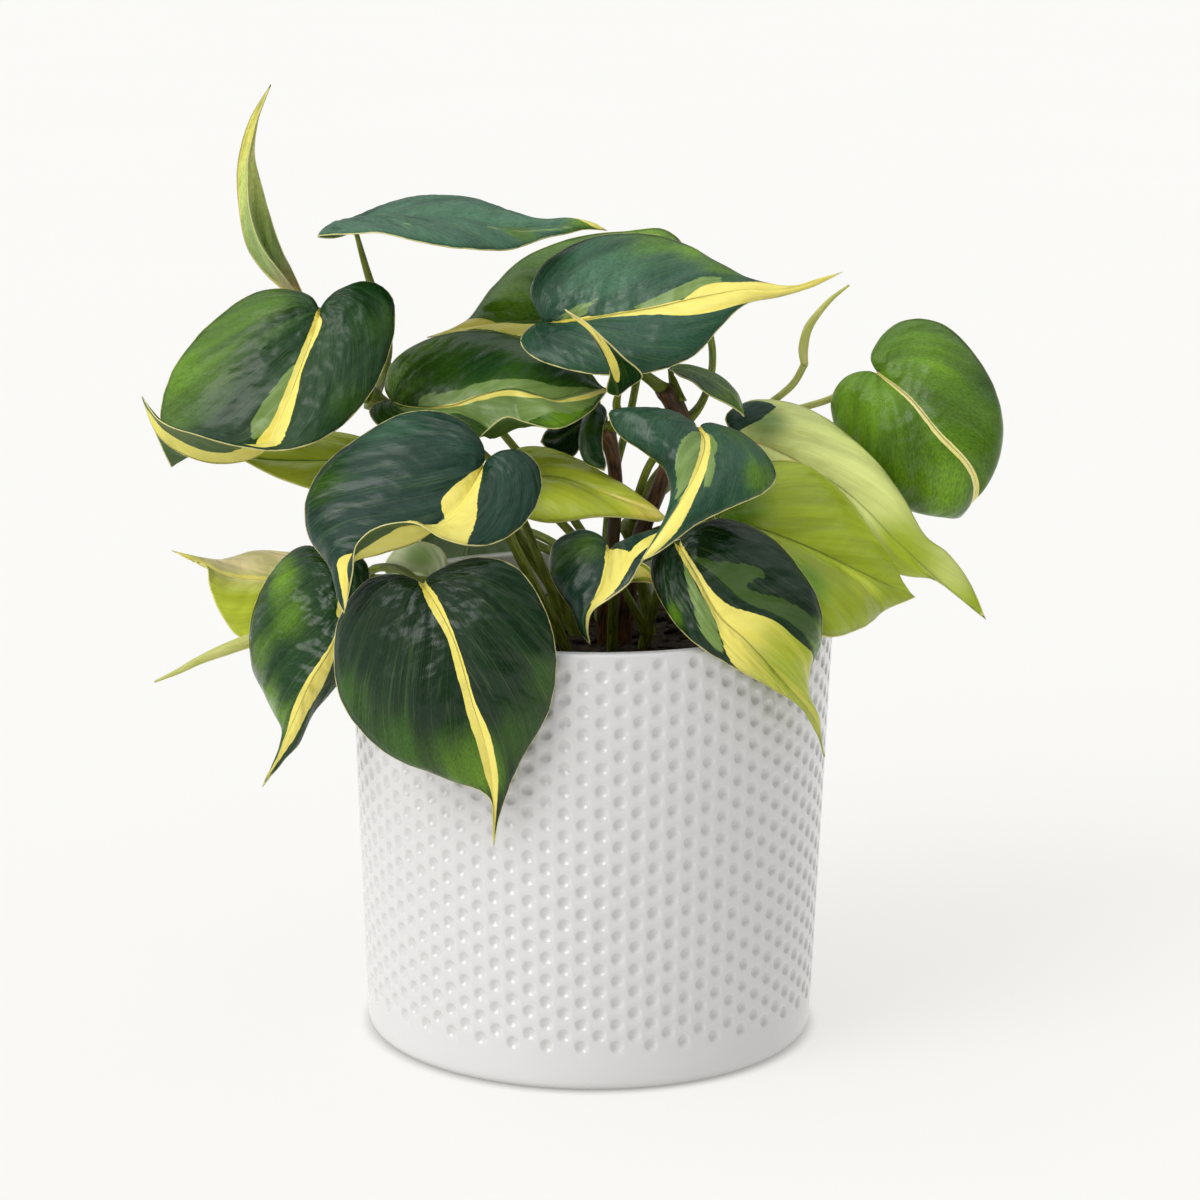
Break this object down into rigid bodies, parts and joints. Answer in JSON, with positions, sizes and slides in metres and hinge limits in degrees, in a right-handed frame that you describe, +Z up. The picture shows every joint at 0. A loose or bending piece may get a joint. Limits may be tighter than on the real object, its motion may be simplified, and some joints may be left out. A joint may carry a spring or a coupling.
{
  "type": "potted brasil philodendron",
  "caption": "Heartleaf philodendron with yellow-striped green leaves on trailing stems, growing in soil in a white ceramic pot with pressed dimples.",
  "frame": {"origin": "middle of the pot's flat underside, on the pot's axis", "axes": "+Z up along the pot's axis, -Y towards the front of the plant, +X to the right as seen from the front"},
  "size_m": [0.229, 0.1721, 0.2547],
  "materials": {
    "glaze": "gloss",
    "soil": "matte",
    "leaf": "satin",
    "lime_leaf": "satin",
    "brown_stem": "matte",
    "green_stem": "satin"
  },
  "bodies": {
    "root": {"pot": "glaze", "soil": "soil", "stem_brown": "brown_stem", "stem_red": "brown_stem", "petiole_centre_left": "green_stem", "petiole_lime_centre": "green_stem", "stem_trailing": "green_stem", "stem_upper_left": "green_stem", "stem_right": "green_stem", "stem_front": "green_stem", "stem_front_right": "green_stem", "stem_back": "green_stem", "spear_left": "lime_leaf", "spear_right": "lime_leaf", "leaf_front": "leaf", "leaf_left": "leaf", "leaf_centre_left": "leaf", "leaf_upper_left": "leaf", "leaf_top_left_new": "lime_leaf", "leaf_top_flat": "leaf", "leaf_top": "leaf", "leaf_top_back": "leaf", "leaf_mid_left": "leaf", "leaf_lime_left": "lime_leaf", "leaf_far_left": "lime_leaf", "leaf_lime_centre": "lime_leaf", "leaf_centre_right": "leaf", "leaf_small_heart": "leaf", "leaf_right_front": "leaf", "leaf_lime_right": "lime_leaf", "leaf_pale_right": "leaf", "leaf_far_right": "leaf", "leaf_small_dark": "leaf", "leaf_top_new": "lime_leaf", "leaf_dark_curl": "leaf", "leaf_dark_inner": "leaf", "leaf_pale_back": "lime_leaf", "leaf_tip_yellow": "lime_leaf", "leaf_back_top": "leaf", "leaf_back_right": "leaf", "leaf_back_left": "leaf", "leaf_back_low_left": "leaf", "leaf_back_low_right": "leaf", "leaf_back_mid": "leaf", "leaf_back_far_left": "leaf", "leaf_back_far_right": "leaf"}
  },
  "joints": []
}
